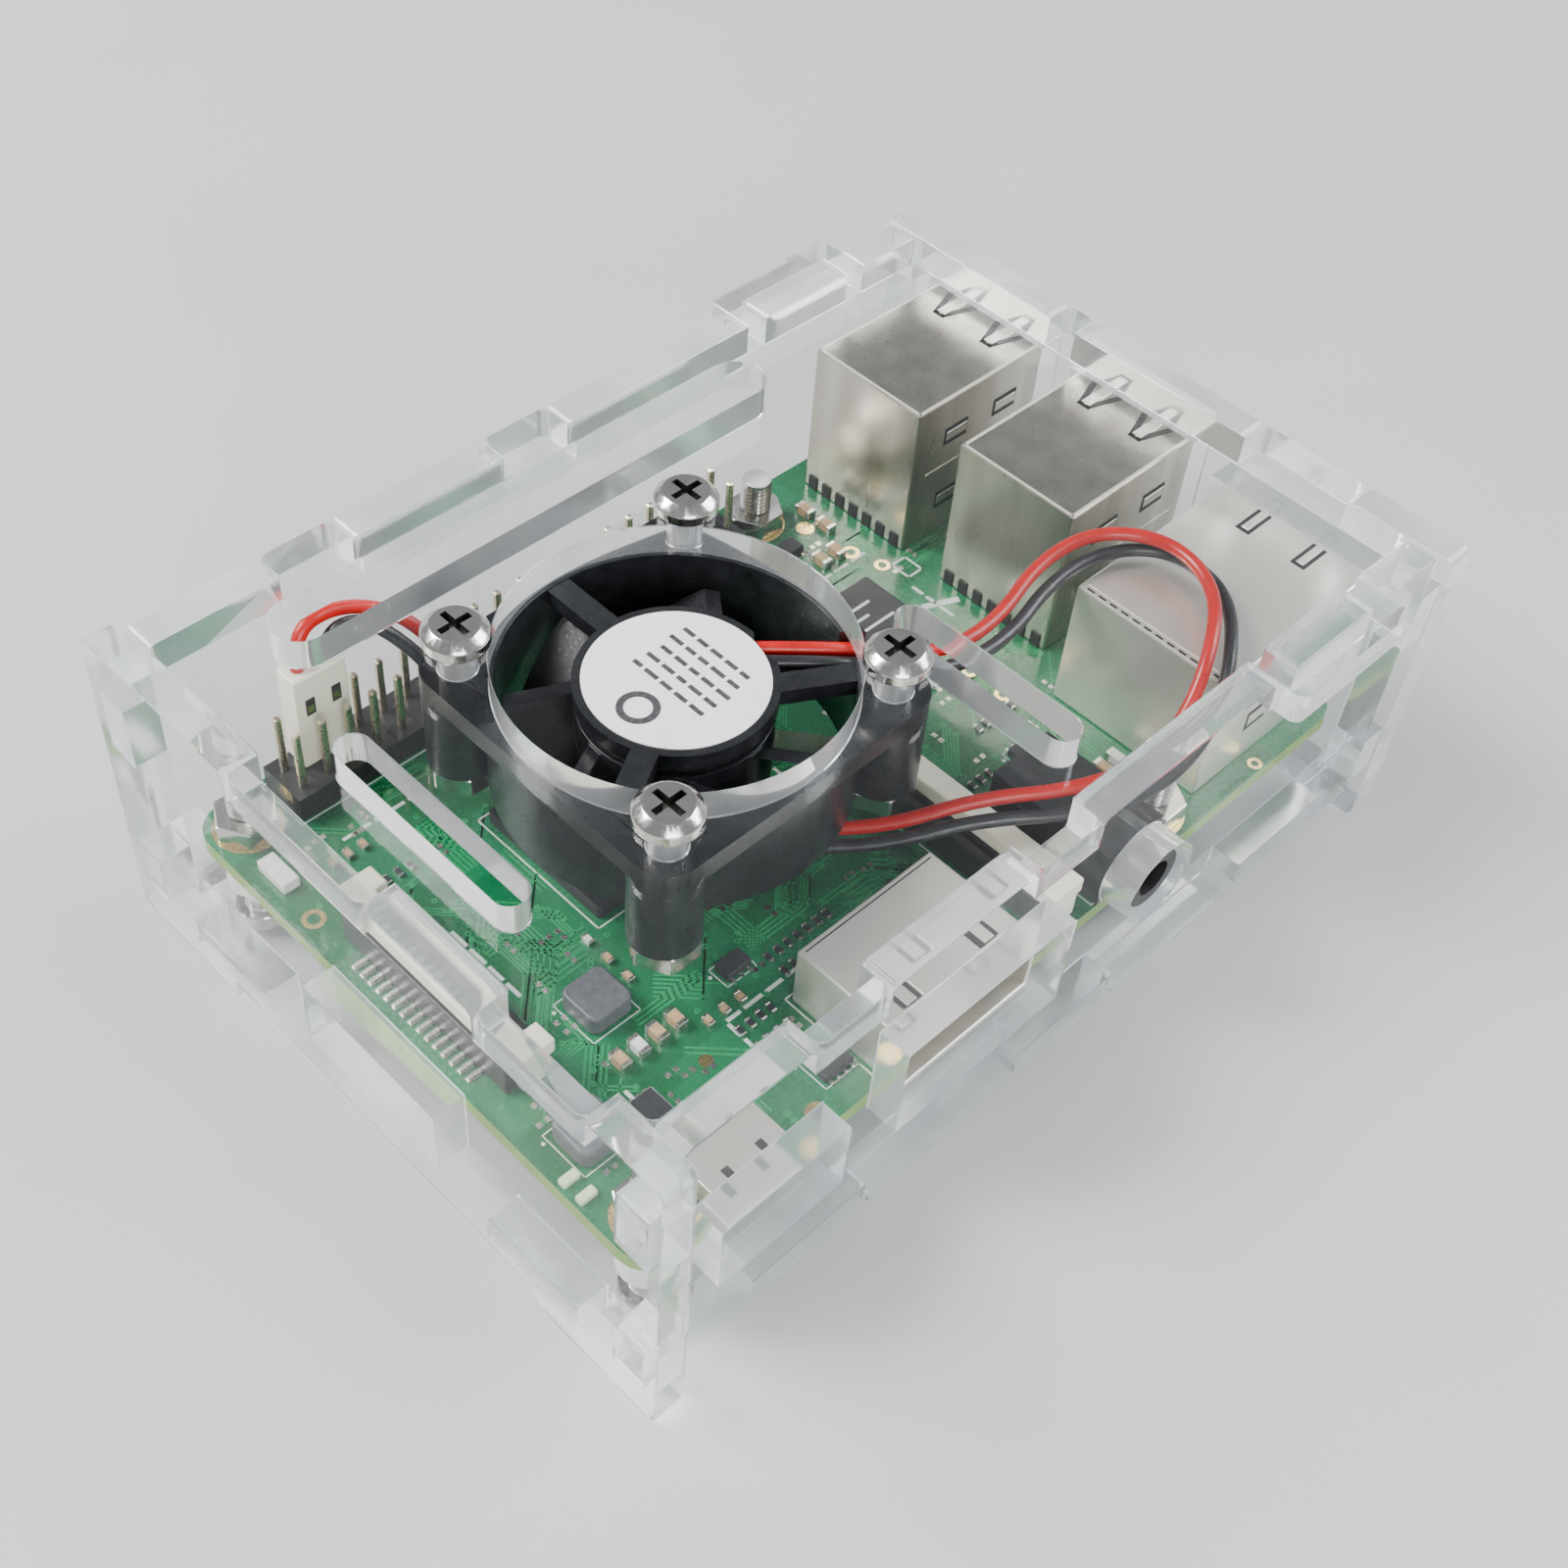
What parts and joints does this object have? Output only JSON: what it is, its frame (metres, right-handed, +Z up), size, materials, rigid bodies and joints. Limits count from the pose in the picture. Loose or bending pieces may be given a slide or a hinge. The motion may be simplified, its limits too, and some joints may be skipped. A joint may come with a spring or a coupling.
{
  "type": "single board computer",
  "caption": "Single board computer in a clear snap-together case, with a cooling fan in the lid and openings for its sockets and pin header.",
  "frame": {"origin": "centre of the case footprint, on the surface it stands on", "axes": "+X along the long side towards the USB and network sockets, +Y towards the pin header, +Z up"},
  "size_m": [0.0916, 0.0676, 0.0337],
  "materials": {
    "clear_acrylic": "polished clear acrylic, flame-bright cut edges",
    "circuit_board": "green solder mask over copper tracks",
    "chip_black": "fine matt moulding",
    "ceramic_capacitor": "matt ceramic with tinned ends",
    "resistor_black": "glazed ceramic",
    "lamp_lens": "diffuse lens",
    "crystal_can": "satin can",
    "header_plastic": "moulded black",
    "gold_contact": "thin gold plating",
    "nickel_shell": "nickel-plated sheet",
    "ivory_plastic": "moulded ivory",
    "steel_fastener": "bright nickel plating",
    "nylon_spacer": "moulded nylon",
    "fan_plastic": "satin moulded black",
    "bearing_brass": "turned",
    "stator_steel": "laminated core with windings",
    "magnet": "bonded ferrite",
    "motor_board": "laminate",
    "label_paper": "printed paper",
    "wire_red": "smooth insulation",
    "wire_black": "smooth insulation"
  },
  "bodies": {
    "case_and_board": {"audio_jack_body": "header_plastic", "audio_jack_contacts": "gold_contact", "board_nuts": "steel_fastener", "board_screws": "steel_fastener", "board_spacers": "nylon_spacer", "bottom_panel": "clear_acrylic", "camera_connector_body": "header_plastic", "camera_connector_contacts": "gold_contact", "capacitors": "ceramic_capacitor", "card_socket_frame": "header_plastic", "card_socket_shell": "nickel_shell", "chip_antenna": "ceramic_capacitor", "circuit_board": "circuit_board", "crystals": "crystal_can", "display_connector_body": "header_plastic", "display_connector_contacts": "gold_contact", "ethernet_contacts": "gold_contact", "ethernet_housing": "header_plastic", "ethernet_lamps": "lamp_lens", "ethernet_shell": "nickel_shell", "fan_bearing": "bearing_brass", "fan_frame": "fan_plastic", "fan_label": "label_paper", "fan_motor_board": "motor_board", "fan_nuts": "steel_fastener", "fan_plug": "ivory_plastic", "fan_screws": "steel_fastener", "fan_stator": "stator_steel", "fan_wire_black": "wire_black", "fan_wire_red": "wire_red", "front_side_panel": "clear_acrylic", "gpio_header_base": "header_plastic", "gpio_header_pins": "gold_contact", "inductors": "chip_black", "inner_usb_contacts": "gold_contact", "inner_usb_insulator": "header_plastic", "inner_usb_shell": "nickel_shell", "left_end_panel": "clear_acrylic", "memory_chip": "chip_black", "network_chip": "chip_black", "outer_usb_contacts": "gold_contact", "outer_usb_insulator": "header_plastic", "outer_usb_shell": "nickel_shell", "power_socket_shell": "nickel_shell", "power_socket_tongue": "header_plastic", "processor_chip": "chip_black", "rear_side_panel": "clear_acrylic", "resistors": "resistor_black", "right_end_panel": "clear_acrylic", "status_lamps": "lamp_lens", "support_chips": "chip_black", "top_panel": "clear_acrylic", "video_contacts": "gold_contact", "video_shell": "nickel_shell", "video_tongue": "header_plastic"},
    "rotor": {"fan_rotor": "fan_plastic", "fan_magnet_ring": "magnet", "fan_shaft": "steel_fastener"},
    "display_latch": {"display_latch": "ivory_plastic"},
    "camera_latch": {"camera_latch": "ivory_plastic"}
  },
  "joints": [
    {"name": "fan_spin", "type": "hinge", "parent": "case_and_board", "child": "rotor", "pos_m": [-0.0127, 0.00195, 0.024], "axis": [0, 0, 1], "continuous": true},
    {"name": "display_latch_lift", "type": "slide", "parent": "case_and_board", "child": "display_latch", "axis": [0, 0, 1], "range_m": [0, 0.001]},
    {"name": "camera_latch_lift", "type": "slide", "parent": "case_and_board", "child": "camera_latch", "axis": [0, 0, 1], "range_m": [0, 0.001]}
  ]
}
